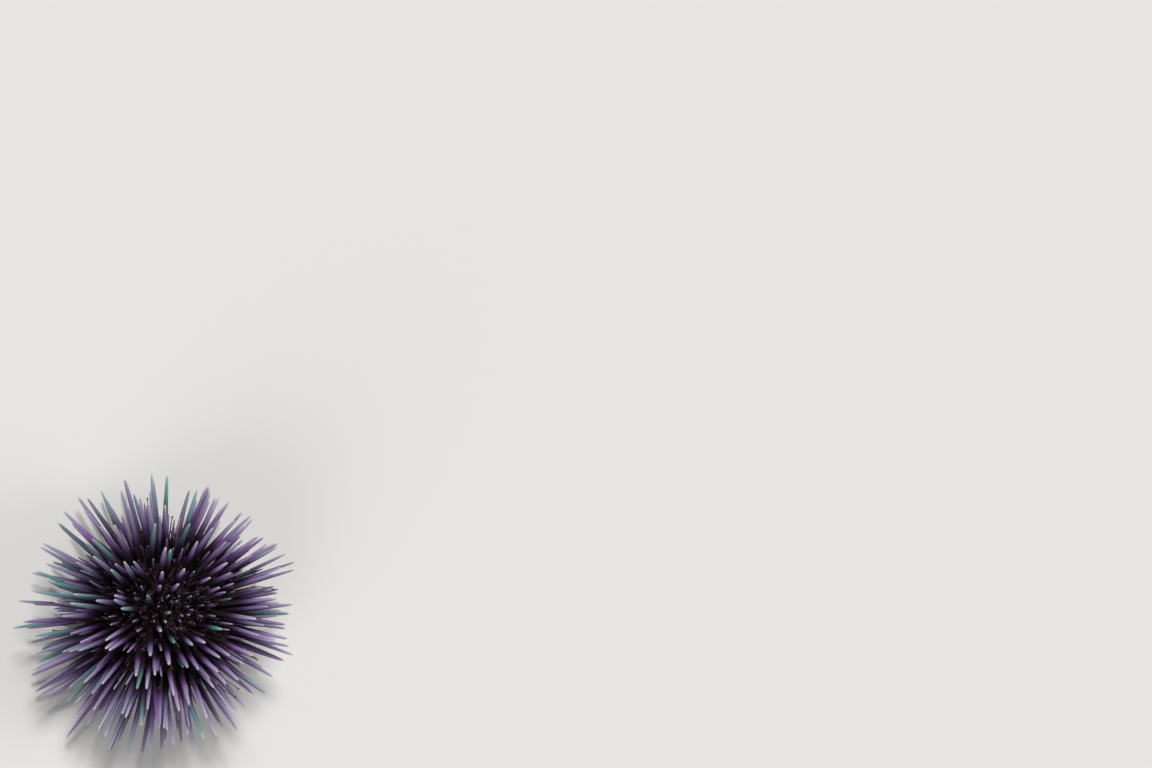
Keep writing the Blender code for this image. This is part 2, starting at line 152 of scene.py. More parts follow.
def makeBundles(rng):  # the directions that the spines gather round, and how much longer they are there
    made = []
    scatter = layout["bundleScatter"]

    def add(polar, azimuth):
        longer = 1 - layout["oval"] * cos(2 * radians(azimuth))
        direction = toward(radians(polar), radians(azimuth))
        made.append((direction, longer * rng.uniform(*layout["bundleLengths"])))

    for azimuth in layout["rimAzimuths"]:
        add(layout["rimPolar"] + rng.uniform(-scatter, scatter), azimuth)
    for ring, count in layout["rings"]:
        start = rng.uniform(0, 360)
        for step in range(count):
            polar = ring + rng.uniform(-scatter, scatter)
            add(polar, start + 360 * step / count + rng.uniform(-scatter, scatter))
    return made


def meridianRows(spacing, first, last):
    fine = np.linspace(apicalAngle, mouthAngle, 400)
    path = np.array([meridian(t) for t in fine])
    run = np.concatenate([[0], np.cumsum(np.hypot(*np.diff(path, axis=0).T))])
    end = run[-1] - last
    stops = np.linspace(first, end, 1 + round((end - first) / spacing))
    return [float(t) for t in np.interp(stops, run, fine)]


def bandAzimuth(number):  # 1 to 5 are the middles of the ambulacra, and 1.5 to 5.5 of those between
    return body["firstAzimuth"] + (number - 1) * tau / body["bands"]


def bandList():
    made = []
    for number in bandNumbers:
        azimuth = bandAzimuth(number)
        between = azimuth + pi / body["bands"]
        made.append((f"ambulacrum_{number}", azimuth, body["ambulacrumHalf"]))
        made.append((f"interambulacrum_{number}", between, body["interambulacrumHalf"]))
    return made


def crowding(radius):
    return min(1.0, layout["crowding"] + (1 - layout["crowding"]) * radius / layout["crowdedRadius"])


def acrossPlaces(t, half, row):
    radius = meridian(t)[0]
    spacing = layout["acrossSpacing"] * crowding(radius)
    room = radius * half - layout["sideMargin"] * crowding(radius)
    if room < layout["leastRoom"] * spacing:
        return [0.0]
    count = 1 + round(2 * room / spacing)
    step = 2 * room / (count - 1)
    if row % 2:
        count -= 1
    return [(place - (count - 1) / 2) * step / radius for place in range(count)]


def bandSpines(rng, owner, azimuth, half):
    made = []
    scatter = layout["rootScatter"]
    rows = meridianRows(layout["rowSpacing"], layout["apicalMargin"], layout["mouthMargin"])
    for row, t in enumerate(rows):
        for offset in acrossPlaces(t, half, row):
            large = rng.random() < layout["largeShare"]
            radius = meridian(t)[0]
            thick = rng.uniform(*layout["largeRadius" if large else "smallRadius"]) * crowding(radius)
            length = spineLength(t) * rng.uniform(*layout["lengthVaries"])
            if not large:
                length *= rng.uniform(*layout["smallLength"])
            slide = rng.uniform(-scatter, scatter) / body["testRadius"]
            offset += rng.uniform(-scatter, scatter) / max(radius, layout["crowdedRadius"])
            widest = max(0.0, half - (thick + body["gap"] + layout["rootCover"]) / radius)
            turn = azimuth + min(max(offset, -widest), widest)
            made.append({
                "owner": owner, "sector": (azimuth, half), "large": large,
                "root": onTest(t + slide, turn), "straight": toward(outwardPolar(t), turn),
                "radius": thick, "length": length,
                "foot": rng.random() < layout["footShare"], "short": rng.uniform(*layout["shortOfFloor"]),
            })
    return made


def discSpines(rng, owner):
    made = []
    scatter, height = layout["discScatter"], apicalRim + layout["discLift"]
    least, more = layout["discTilt"]
    for ring, count in layout["discSpines"]:
        for step in range(count):
            turn = tau * (step + rng.uniform(-scatter, scatter)) / count
            made.append({
                "owner": owner, "sector": None, "large": False,
                "root": roundAxis(ring, turn, height),
                "straight": toward(radians(least + more * ring / body["apicalRadius"]), turn),
                "radius": layout["smallRadius"][0], "length": rng.uniform(*layout["discLength"]),
                "foot": False, "short": 1.0,
            })
    return made


def leanIntoBundles(rng, spines):
    gathered = makeBundles(rng)
    for spine in spines:
        straight = spine["straight"]
        nearest, longer = max(gathered, key=lambda bundle: straight.dot(bundle[0]))
        stray = Vector([rng.gauss(0, layout["scatter"]) for _ in range(3)])
        spine["lean"] = rng.uniform(*layout["pull"]) * (nearest - straight) + stray
        spine["length"] *= longer
        spine["ease"] = 1.0
    return gathered


def settle(spine):
    aim = (spine["straight"] + spine["ease"] * spine["lean"]).normalized()
    reach, onFloor = spine["length"], False
    if aim.z < 0:
        toFloor = spine["root"].z / -aim.z
        steep = aim.z < -layout["footSteepness"]
        if spine["foot"] and steep and reach > layout["footReach"] * toFloor:
            reach, onFloor = toFloor, True
        else:
            reach = min(reach, toFloor * spine["short"])
    spine["aim"], spine["reach"], spine["onFloor"] = aim, reach, onFloor


def seated(spine):
    if not spine["sector"]:
        return True
    azimuth, half = spine["sector"]
    end = spine["root"] - spine["aim"] * layout["rootDepth"]
    cover = spine["radius"] + layout["rootCover"]
    across = abs(remainder(atan2(end.y, end.x) - azimuth, tau))
    radius = hypot(end.x, end.y)
    if radius * sin(half - across) < cover + body["gap"] / 2:
        return False
    if end.z > apicalRim - body["apicalDepth"] - cover and radius < body["apicalRadius"] + cover:
        return False
    return end.z > mouthRim + body["mouthDepth"] + cover or radius > body["mouthRadius"] + cover


def closest(p, u, q, v):  # nearest points of pairs of straight runs: shares along each, and the distance
    apart = p - q
    uu, vv, uv = (u * u).sum(1), (v * v).sum(1), (u * v).sum(1)
    ua, va = (u * apart).sum(1), (v * apart).sum(1)
    s = np.clip((uv * va - ua * vv) / np.maximum(uu * vv - uv * uv, 1e-18), 0, 1)
    t = (uv * s + va) / vv
    s = np.where(t < 0, np.clip(-ua / uu, 0, 1), np.where(t > 1, np.clip((uv - ua) / uu, 0, 1), s))
    t = np.clip(t, 0, 1)
    return s, t, np.linalg.norm(apart + s[:, None] * u - t[:, None] * v, axis=1)


def asArrays(spines):
    roots = np.array([s["root"] for s in spines])
    runs = np.array([s["aim"] * s["reach"] for s in spines])
    return roots, runs, np.array([s["radius"] for s in spines])


def clashes(spines):
    roots, runs, thick = asArrays(spines)
    one, two = np.triu_indices(len(spines), 1)
    s, t, between = closest(roots[one], runs[one], roots[two], runs[two])
    taper = 1 - layout["tipShare"]
    wanted = thick[one] * (1 - taper * s) + thick[two] * (1 - taper * t) + layout["clearance"]
    return [(int(a), int(b)) for a, b in zip(one[between < wanted], two[between < wanted])]


def keepClear(spines):
    for _ in range(layout["rounds"]):
        for spine in spines:
            settle(spine)
        found = {index for pair in clashes(spines) for index in pair}
        found |= {index for index, spine in enumerate(spines) if not seated(spine)}
        if not found:
            break
        for index in found:
            spines[index]["ease"] *= layout["relax"]
    dropped = {index for index, spine in enumerate(spines) if not seated(spine)}
    for one, two in clashes(spines):
        if one not in dropped and two not in dropped:
            dropped.add(min(one, two, key=lambda index: spines[index]["radius"] * spines[index]["reach"]))
    return [spine for index, spine in enumerate(spines) if index not in dropped]


layoutRng = random.Random(layout["seed"])
mainSpines = []
for owner, azimuth, half in bandList():
    mainSpines += bandSpines(layoutRng, owner, azimuth, half)
mainSpines += discSpines(layoutRng, "apical_disc")
gatheredBundles = leanIntoBundles(layoutRng, mainSpines)
mainSpines = keepClear(mainSpines)
spineTips = np.array([s["root"] + s["aim"] * s["reach"] for s in mainSpines])
middle = (spineTips.max(0) + spineTips.min(0)) / 2
bodyShift = Vector((-middle[0], -middle[1], 0))  # the solids are centred on their outer box
shifted = f"{bodyShift.x / mm:.2f} {bodyShift.y / mm:.2f} mm"
print(f"layout: {len(mainSpines)} main spines, body shifted {shifted}")


# Small tools

def startClean():
    if bpy.context.mode != "OBJECT":
        bpy.ops.object.mode_set(mode="OBJECT")
    bpy.ops.object.select_all(action="DESELECT")


def addShape(shape, name, **sizes):
    startClean()
    getattr(bpy.ops.mesh, f"primitive_{shape}_add")(**sizes)
    bpy.context.object.name = name
    return bpy.context.object


def selectAll():
    bpy.ops.object.mode_set(mode="EDIT")
    bpy.ops.mesh.select_all(action="SELECT")


def leaveEdit():
    bpy.ops.object.mode_set(mode="OBJECT")


def smoothAll(obj, angle):
    startClean()
    obj.select_set(True)
    bpy.context.view_layer.objects.active = obj
    bpy.ops.object.shade_smooth_by_angle(angle=radians(angle))
    obj.select_set(False)


def pointsOf(obj):
    return np.array([v.co for v in obj.data.vertices])


def setPoints(obj, points):
    obj.data.vertices.foreach_set("co", points.astype(np.float32).ravel())
    obj.data.update()


def finishPiece(obj, material, slot, *replaced):  # its material and body, the slot, which is not used, and the nodes it stands for
    obj.data.materials.clear()
    obj.data.materials.append(material)
    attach(obj, "root")
    if replaced:
        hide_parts(*replaced)


def spun(name, path, steps, merge):  # a half section of (radius, height) points, spun round the axis
    made = addShape("circle", name, vertices=3, radius=0.5 * mm, location=(0, 0, 0))
    selectAll()
    bpy.ops.mesh.merge(type="CENTER")  # one point, pulled along the half section
    bpy.ops.transform.translate(value=(path[0][0], 0, path[0][1]))
    for here, there in zip(path, path[1:]):
        bpy.ops.mesh.extrude_region_move(
            TRANSFORM_OT_translate={"value": (there[0] - here[0], 0, there[1] - here[1])}
        )
    selectAll()
    bpy.ops.mesh.spin(steps=steps, angle=tau, center=(0, 0, 0), axis=(0, 0, 1))
    selectAll()
    bpy.ops.mesh.remove_doubles(threshold=merge)
    bpy.ops.mesh.normals_make_consistent(inside=False)
    leaveEdit()
    return made


def pulledForm(sides, rings):  # a round form pulled up ring by ring: (height, radius)
    low, radius = rings[0]
    made = addShape("circle", "form", vertices=sides, radius=radius, fill_type="NGON", location=(0, 0, low))
    bpy.ops.object.transform_apply(location=True, rotation=True, scale=True)
    selectAll()
    for (lower, before), (upper, after) in zip(rings, rings[1:]):
        bpy.ops.mesh.extrude_region_move(TRANSFORM_OT_translate={"value": (0, 0, upper - lower)})
        bpy.ops.transform.resize(value=(after / before, after / before, 1))
    selectAll()
    bpy.ops.mesh.normals_make_consistent(inside=False)
    leaveEdit()
    return pattern(made)


def pattern(obj):  # a form's points and faces, with turn and height at each face corner
    points = pointsOf(obj)
    faces = [list(p.vertices) for p in obj.data.polygons]
    turn = np.arctan2(points[:, 1], points[:, 0]) / tau % 1.0
    low, high = points[:, 2].min(), points[:, 2].max()
    corners = []
    for face in faces:
        heights = points[face, 2]
        flat = np.ptp(heights) < 1e-6
        turns = turn[face]
        if not flat and np.ptp(turns) > 0.5:
            turns = np.where(turns < 0.5, turns + 1, turns)
        for corner, index in enumerate(face):
            up = (points[index, 2] - low) / (high - low)
            if flat:  # an end cap gets a little disc of its own
                around, level = tau * turn[index], 0.97 if up > 0.5 else 0.03
                corners.append((0.5 + 0.45 * cos(around), level + 0.03 * sin(around)))
            else:
                corners.append((float(turns[corner]), 0.07 + 0.86 * up))
    bpy.data.objects.remove(obj)
    return {"points": points, "faces": faces, "corners": np.array(corners), "low": low, "high": high}


def manyOf(name, form, grown, material, slot, *replaced):
    # One mesh of many copies of a form. Each of grown has a root, an aim, a reach and a radius, and it may
    # say how deep it is sunk, how it bends, spins and ends, and how it looks

    def each(label, usual=0.0):
        return np.array([g.get(label, usual) for g in grown])

    count, size = len(grown), len(form["points"])
    base = form["points"]
    root = np.array([g["root"] + bodyShift for g in grown])
    aim, reach, sunk, spin = each("aim"), each("reach"), each("sunk"), each("spin")
    bow, wave = each("bow", (0, 0, 0)), each("wave", (0, 0, 0))
    helper = np.where(np.abs(aim[:, 2:3]) < 0.9, [[0, 0, 1.0]], [[1.0, 0, 0]])
    side = np.cross(helper, aim)
    side /= np.linalg.norm(side, axis=1)[:, None]
    other = np.cross(aim, side)
    c, s = np.cos(spin)[:, None], np.sin(spin)[:, None]
    side, other = c * side + s * other, -s * side + c * other
    along = (base[:, 2] - form["low"]) / (form["high"] - form["low"])
    run = -sunk[:, None] + along[None] * (reach + sunk)[:, None]
    free = np.clip(run / reach[:, None], 0, 1)
    swell = np.interp(along, (0.3, 0.7, 0.95), (0, 0.3, 0.5))  # a blunt end is thicker from its middle on
    swell = each("radius")[:, None] * (1 + each("blunt")[:, None] * swell)
    points = (
        root[:, None]
        + swell[..., None] * (base[None, :, :1] * side[:, None] + base[None, :, 1:2] * other[:, None])
        + run[..., None] * aim[:, None]
        + (4 * free * (1 - free))[..., None] * bow[:, None]
        + np.sin(tau * free)[..., None] * wave[:, None]
    )
    for index, one in enumerate(grown):
        if one.get("onFloor"):  # the flat end of a spine that stands on the floor
            low = points[index, :, 2] < 0.0
            slip = points[index, low, 2] / one["aim"].z
            points[index, low] -= slip[:, None] * np.array(one["aim"])
    mesh = bpy.data.meshes.new(name)
    faces = [[corner + index * size for corner in face] for index in range(count) for face in form["faces"]]
    mesh.from_pydata(points.reshape(-1, 3).tolist(), [], faces)
    mesh.validate()
    # dark stretches along so that more of the length stays dark; on the top spines this is painted shade
    dark = each("dark")[:, None]
    looks = {"along": np.clip((free - dark) / (1 - dark), 0, 1)}
    for label in ("toneAndShade", "teal", "worn"):
        looks[label] = np.repeat(each(label)[:, None], size, axis=1)
    for label, values in looks.items():
        layer = mesh.attributes.new(label, "FLOAT", "POINT")
        layer.data.foreach_set("value", np.ascontiguousarray(values, dtype=np.float32).ravel())
    # The grain map runs once round and once along each copy. The bake map has a patch for each copy, in the
    # order of their roots
    corners = form["corners"]
    grain = mesh.uv_layers.new(name="grain")
    grain.data.foreach_set("uv", np.tile(corners, (count, 1)).astype(np.float32).ravel())
    columns = ceil(sqrt(count))
    azimuth = np.arctan2(root[:, 1], root[:, 0])
    order = np.lexsort((azimuth, np.round(root[:, 2] / (3 * mm))))
    place = np.empty(count, int)
    place[order] = np.arange(count)
    cell = np.stack([place % columns, place // columns], 1)
    margin, widest = 0.08, 1.5  # round a patch, and how far a turn runs on past its seam
    inPatch = np.clip(corners, 0, widest) * (1 / widest, 1)
    patches = (cell[:, None] + margin + (1 - 2 * margin) * inPatch[None]) / columns
    bake = mesh.uv_layers.new(name="OFBake")
    bake.data.foreach_set("uv", patches.astype(np.float32).ravel())
    mesh.uv_layers.active = grain
    made = bpy.data.objects.new(name, mesh)
    bpy.context.scene.collection.objects.link(made)
    mesh.shade_smooth()
    finishPiece(made, material, slot, *replaced)


# Materials

def newMaterial(name):
    made = bpy.data.materials.new(name)
    made.use_nodes = True
    return made, made.node_tree, made.node_tree.nodes["Principled BSDF"]


def setInputs(tree, node, inputs):  # each a link from another node, a number or a colour
    for label, value in inputs.items():
        if isinstance(value, bpy.types.NodeSocket):
            tree.links.new(value, node.inputs[label])
        else:
            node.inputs[label].default_value = (*value, 1) if isinstance(value, tuple) else value
    return node


def addNode(tree, kind, inputs):
    return setInputs(tree, tree.nodes.new("ShaderNode" + kind), inputs)


def ramp(tree, stops, place):
    node = addNode(tree, "ValToRGB", {0: place})
    elements = node.color_ramp.elements
    while len(elements) < len(stops):
        elements.new(0.5)
    for element, (position, colour) in zip(elements, stops):
        element.position = position
        element.color = (*colour, 1)
    return node.outputs[0]


def mixColour(tree, blend, factor, one, two):
    node = tree.nodes.new("ShaderNodeMix")
    node.data_type = "RGBA"
    node.blend_type = blend
    return setInputs(tree, node, {0: factor, 6: one, 7: two}).outputs[2]


def maths(tree, operation, *values):
    node = addNode(tree, "Math", dict(enumerate(values)))
    node.operation = operation
    return node.outputs[0]


def atLeast(tree, value, least=0.0):
    return maths(tree, "MAXIMUM", value, least)


def attribute(tree, name):
    node = tree.nodes.new("ShaderNodeAttribute")
    node.attribute_name = name
    return node.outputs["Fac"]


def objectNoise(tree, inputs):
    place = addNode(tree, "TexCoord", {}).outputs["Object"]
    return addNode(tree, "TexNoise", {"Vector": place, **inputs}).outputs["Fac"]


def finishShader(tree, shader, colour, rough, specular, height, strength, deep):
    relief = addNode(tree, "Bump", {"Strength": strength, "Distance": deep, "Height": height})
    setInputs(tree, shader, {
        "Base Color": colour, "Roughness": rough, "Specular IOR Level": specular,
        "Normal": relief.outputs[0],
    })


def makeGroup(name, inputs, outputs):  # all its sockets carry numbers
    group = bpy.data.node_groups.new(name, "ShaderNodeTree")
    for label, value in inputs.items():
        socket = group.interface.new_socket(name=label, in_out="INPUT", socket_type="NodeSocketFloat")
        socket.default_value = value
    for label in outputs:
        group.interface.new_socket(name=label, in_out="OUTPUT", socket_type="NodeSocketFloat")
    return group, group.nodes.new("NodeGroupInput").outputs, group.nodes.new("NodeGroupOutput")


def useGroup(tree, group, inputs):
    node = tree.nodes.new("ShaderNodeGroup")
    node.node_tree = group
    return setInputs(tree, node, inputs).outputs


def fineRibsGroup():  # the lengthwise ribs of a spine, a little broken up, from the grain map
    group, start, end = makeGroup("fine_ribs", {"Ribs": 20.0, "Breakup": 0.35}, ("Height", "Groove"))
    grain = group.nodes.new("ShaderNodeUVMap")
    grain.uv_map = "grain"
    turn = addNode(group, "SeparateXYZ", {0: grain.outputs[0]}).outputs[0]
    turn = maths(group, "MULTIPLY", maths(group, "MULTIPLY", turn, start["Ribs"]), tau)
    wave = maths(group, "MULTIPLY_ADD", maths(group, "SINE", turn), 0.5, 0.5)
    rough = maths(group, "MULTIPLY", objectNoise(group, {"Scale": 900, "Detail": 2}), start["Breakup"])
    groove = maths(group, "POWER", maths(group, "SUBTRACT", 1.0, wave), 2.0)
    setInputs(group, end, {"Height": maths(group, "ADD", wave, rough), "Groove": groove})
    return group


def blotchGroup():  # soft patches on the object's own coordinates
    group, start, end = makeGroup("soft_blotches", {"Scale": 200.0, "Contrast": 1.0}, ("Mask", "Height"))
    noise = objectNoise(group, {"Scale": start["Scale"], "Detail": 4, "Roughness": 0.6})
    sharper = maths(group, "MULTIPLY", maths(group, "SUBTRACT", noise, 0.5), start["Contrast"])
    mask = addNode(group, "Clamp", {0: maths(group, "ADD", sharper, 0.5)}).outputs[0]
    setInputs(group, end, {"Mask": mask, "Height": noise})
    return group


fineRibs = fineRibsGroup()
softBlotches = blotchGroup()

# The ramps run along each spine. Their near-black lower part is partly the spine's own dark base and partly
# painted shade between the crowded spines
spineColours = {
    "violet": (
        (0.0, (0.0035, 0.0008, 0.0030)), (0.20, (0.010, 0.0025, 0.011)), (0.36, (0.054, 0.019, 0.084)),
        (0.52, (0.140, 0.070, 0.212)), (0.72, (0.220, 0.148, 0.312)), (0.93, (0.312, 0.248, 0.385)),
        (1.0, (0.390, 0.330, 0.425)),
    ),
    "teal": (
        (0.0, (0.0035, 0.0008, 0.0030)), (0.20, (0.012, 0.005, 0.016)), (0.38, (0.032, 0.038, 0.072)),
        (0.62, (0.040, 0.155, 0.140)), (0.88, (0.115, 0.275, 0.230)), (1.0, (0.240, 0.360, 0.290)),
    ),
    "darker": (0.55, 0.42, 0.58),
    "paler": (1.35, 1.32, 1.26),
    "worn": (0.56, 0.49, 0.43),
    "ribs": 18.0,
}
# The small spines are kept darker than the main ones: partly their own colour, partly painted shade among the
# main spines
smallColours = {
    "violet": (
        (0.0, (0.004, 0.0012, 0.0035)), (0.40, (0.012, 0.004, 0.015)), (0.75, (0.050, 0.024, 0.070)),
        (1.0, (0.165, 0.120, 0.170)),
    ),
    "teal": ((0.0, (0.004, 0.0012, 0.004)), (0.50, (0.012, 0.014, 0.024)), (1.0, (0.095, 0.145, 0.120))),
    "darker": (0.5, 0.4, 0.5),
    "paler": (1.5, 1.35, 1.35),
    "worn": (0.34, 0.28, 0.24),
    "ribs": 8.0,
}
spineSurface = {
    "specular": 0.38,
    "patchScale": 260.0,
    "patchContrast": 1.6,
    "greenDrift": 0.45,  # how far the patches move a spine towards green or back
    "tipShare": 16.0,  # the last sixteenth is worn
    "breakup": 0.5,
    "grooveShade": 0.45,
    "grooveShadeColour": (0.45, 0.38, 0.5),
    "roughness": 0.42,
    "grooveRough": 0.25,
    "bump": 0.55,
    "deep": 0.08 * mm,
}


def spineMaterial(name, colours):
    made, tree, shader = newMaterial(name)
    look = spineSurface
    along, toneAndShade = attribute(tree, "along"), attribute(tree, "toneAndShade")
    patches = useGroup(tree, softBlotches, {"Scale": look["patchScale"], "Contrast": look["patchContrast"]})
    drift = maths(tree, "SUBTRACT", patches["Mask"], 0.5)
    green = atLeast(tree, maths(tree, "MULTIPLY_ADD", drift, look["greenDrift"], attribute(tree, "teal")))
    green = maths(tree, "MINIMUM", green, 1.0)
    violet, teal = ramp(tree, colours["violet"], along), ramp(tree, colours["teal"], along)
    colour = mixColour(tree, "MIX", green, violet, teal)
    # a negative tone darkens the spine: random tone, and painted shade on the lower spines
    dark = atLeast(tree, maths(tree, "MULTIPLY", toneAndShade, -1.0))
    colour = mixColour(tree, "MULTIPLY", dark, colour, colours["darker"])
    colour = mixColour(tree, "MULTIPLY", atLeast(tree, toneAndShade), colour, colours["paler"])
    tip = atLeast(tree, maths(tree, "MULTIPLY_ADD", along, look["tipShare"], 1.0 - look["tipShare"]))
    tip = maths(tree, "SMOOTH_MIN", tip, 1.0, 0.1)
    worn = maths(tree, "MULTIPLY", tip, attribute(tree, "worn"))
    colour = mixColour(tree, "MIX", worn, colour, colours["worn"])
    rib = useGroup(tree, fineRibs, {"Ribs": colours["ribs"], "Breakup": look["breakup"]})
    # painted shade: the rib grooves are darkened in colour
    shadeInGroove = maths(tree, "MULTIPLY", rib["Groove"], look["grooveShade"])
    colour = mixColour(tree, "MULTIPLY", shadeInGroove, colour, look["grooveShadeColour"])
    rough = maths(tree, "MULTIPLY_ADD", rib["Groove"], look["grooveRough"], look["roughness"])
    finishShader(tree, shader, colour, rough, look["specular"], rib["Height"], look["bump"], look["deep"])
    return made


# Flesh: the dark and the light colour, then the patches' scale, roughness, depth of relief and specular
# The test skin, tube feet and pincers are near black: partly their own colour, partly painted shade of the
# deep interior between the spines
fleshLooks = {
    "test_skin": ((0.003, 0.001, 0.0025), (0.012, 0.004, 0.008), 420.0, 0.6, 0.15 * mm, 0.18),
    "spine_muscle": ((0.006, 0.0015, 0.004), (0.024, 0.006, 0.014), 900.0, 0.5, 0.06 * mm, 0.25),
    "apical_skin": ((0.007, 0.003, 0.006), (0.026, 0.011, 0.021), 700.0, 0.5, 0.1 * mm, 0.3),
    "mouth_skin": ((0.060, 0.018, 0.026), (0.170, 0.060, 0.070), 600.0, 0.4, 0.12 * mm, 0.5),
    "tube_foot_skin": ((0.013, 0.005, 0.008), (0.044, 0.017, 0.021), 800.0, 0.4, 0.06 * mm, 0.4),
    "tooth_ivory": ((0.52, 0.47, 0.36), (0.78, 0.75, 0.66), 500.0, 0.3, 0.03 * mm, 0.5),
    "pincer_flesh": ((0.020, 0.010, 0.015), (0.072, 0.047, 0.050), 700.0, 0.45, 0.05 * mm, 0.35),
}


def fleshMaterial(name, dark, light, scale, roughness, deep, specular):
    made, tree, shader = newMaterial(name)
    mask = useGroup(tree, softBlotches, {"Scale": scale, "Contrast": 2.2})["Mask"]
    fine = useGroup(tree, softBlotches, {"Scale": scale * 4, "Contrast": 1.0})["Height"]
    rough = maths(tree, "MULTIPLY_ADD", mask, 0.2, roughness)
    finishShader(tree, shader, mixColour(tree, "MIX", mask, dark, light), rough, specular, fine, 0.6, deep)
    return made


spineFinish = spineMaterial("spine_purple", spineColours)
smallFinish = spineMaterial("small_spine_purple", smallColours)
flesh = {name: fleshMaterial(name, *look) for name, look in fleshLooks.items()}
print("materials made")


# The test's skin

skin = {
    "around": 240,
    "down": 110,
    "merge": 0.02 * mm,
    "mound": 0.42 * mm,
    "moundWidth": 1.05,  # of the spine's radius
    "seam": 0.35 * mm,
    "seamWidth": 0.9 * mm,
    "seamFades": 8 * mm,
    "seatEdge": 0.7 * mm,
    "batch": 4000,
}
halfSection = [meridian(pi * step / skin["down"]) for step in range(skin["down"] + 1)]
testSkin = spun("test_skin", halfSection, skin["around"], skin["merge"])
skinPoints = pointsOf(testSkin)
skinNormals = np.array([v.normal for v in testSkin.data.vertices])
rootPoints, _, rootSizes = asArrays(mainSpines)
rise = np.zeros(len(skinPoints))
for first in range(0, len(skinPoints), skin["batch"]):  # a mound under every main spine
    part = slice(first, first + skin["batch"])
    away = np.linalg.norm(skinPoints[part, None] - rootPoints[None], axis=2)
    away /= skin["moundWidth"] * rootSizes
    rise[part] = (np.exp(-away**2) * rootSizes / mm).max(1)
azimuths = np.arctan2(skinPoints[:, 1], skinPoints[:, 0])
distances = np.hypot(skinPoints[:, 0], skinPoints[:, 1])
seam = np.full(len(skinPoints), 1.0)
for owner, azimuth, half in bandList():  # a shallow line down each side and the middle of every band
    for line in (-half, 0.0):
        off = np.abs(np.remainder(azimuths - azimuth - line + pi, tau) - pi)
        seam = np.minimum(seam, np.clip(off * distances / skin["seamWidth"], 0, 1))
low = -skin["seam"] * (1 - seam) * np.clip(distances / skin["seamFades"], 0, 1)
skinPoints += skinNormals * (skin["mound"] * rise + low * (1 - np.clip(rise, 0, 1)))[:, None]
seat = np.clip((body["mouthRadius"] - distances) / skin["seatEdge"], 0, 1)
seat *= skinPoints[:, 2] < body["level"]
skinPoints[:, 2] += body["mouthDepth"] * seat  # drawn in above the mouth membrane
setPoints(testSkin, skinPoints + np.array(bodyShift))
testSkin.data.shade_smooth()
bands = [owner for owner, _, _ in bandList()]
finishPiece(testSkin, flesh["test_skin"], "interambulacral_spines", *bands)
print(f"test skin: {len(testSkin.data.polygons)} faces")


# The main spines, band by band

spineForm = {
    "sides": 10,
    "rings": (
        (0.0, 0.82), (0.05, 0.94), (0.18, 1.0), (0.45, 0.90), (0.70, 0.71), (0.88, 0.52), (0.965, 0.38),
        (1.0, 0.17),
    ),
    "floorRings": ((0.0, 0.80), (0.05, 0.93), (0.18, 1.0), (0.5, 0.82), (0.85, 0.52), (1.0, 0.44)),
    "sunk": 0.7 * mm,
    "bow": 0.011,
    "toneLarge": 0.08,
    "toneSmall": -0.5,
    "toneVaries": 0.45,
    "tealShare": (0.08, 0.26),  # least, and most on the side the photo shows greenest
    "tealSide": radians(150),
    "teal": (0.7, 1.0),
    "faintTeal": 0.45,
    "shadeBelow": 0.7,  # painted shade: how much darker the lower spines are
    "shadeBelowFrom": 84,  # degrees from straight up
    "shadeBelowOver": 25,
    "shadeAtTop": 0.58,  # share of the length kept dark on the top spines, painted shade among the crowded spines there
    "shadeWithin": 82,
    "blunt": (0.0, 0.1),
    "bluntAtTop": 0.65,
    "bluntWithin": 48,
    "bluntOver": 30,
    "seed": 5,
}
mainForm = pulledForm(spineForm["sides"], spineForm["rings"])
floorForm = pulledForm(spineForm["sides"], spineForm["floorRings"])


def anySide(rng, aim):  # a random direction square to aim
    side = aim.orthogonal().normalized()
    side.rotate(Matrix.Rotation(rng.uniform(0, tau), 3, aim))
    return side


def within(value, low=0.0, high=1.0):
    return max(low, min(high, value))


def giveLook(spine, rng):
    aim, form = spine["aim"], spineForm
    spine["bow"] = anySide(rng, aim) * spine["reach"] * form["bow"] * rng.uniform(0, 1)
    spine["spin"] = rng.uniform(0, tau)
    spine["sunk"] = form["sunk"]
    # the lower spines are darkened through their tone: painted shade under the body
    shadedBelow = within((degrees(acos(aim.z)) - form["shadeBelowFrom"]) / form["shadeBelowOver"])
    usual = form["toneLarge" if spine["large"] else "toneSmall"]
    spine["toneAndShade"] = within(rng.gauss(usual, form["toneVaries"]) - form["shadeBelow"] * shadedBelow, -1.0)
    least, most = form["tealShare"]
    greenSide = max(0.0, cos(atan2(aim.y, aim.x) - form["tealSide"]))
    green = rng.random() < least + (most - least) * greenSide
    spine["teal"] = rng.uniform(*form["teal"]) if green else form["faintTeal"] * rng.random() ** 1.8
    spine["worn"] = rng.random() ** 2.2
    # the top spines stay dark further up: painted shade among the crowded spines there
    fromTop = degrees(acos(spine["straight"].z))
    spine["dark"] = form["shadeAtTop"] * max(0.0, 1 - fromTop / form["shadeWithin"])
    atTop = within((form["bluntWithin"] - fromTop) / form["bluntOver"])
    spine["blunt"] = rng.uniform(*form["blunt"]) + form["bluntAtTop"] * atTop


lookRng = random.Random(spineForm["seed"])
for spine in mainSpines:
    giveLook(spine, lookRng)
for owner in [*bands, "apical_disc"]:
    group = [s for s in mainSpines if s["owner"] == owner and not s["onFloor"]]
    kind = owner.split("_")[0].replace("um", "al")
    slot = "apical_plates" if owner == "apical_disc" else f"{kind}_spines"
    manyOf(f"spines_{owner}", mainForm, group, spineFinish, slot, owner)
standing = [s for s in mainSpines if s["onFloor"]]
manyOf("spines_on_the_floor", floorForm, standing, spineFinish, "interambulacral_spines")
print(f"main spines: {len(mainSpines)}, {len(standing)} of them reach the floor")


# A dark collar of muscle at the foot of every main spine

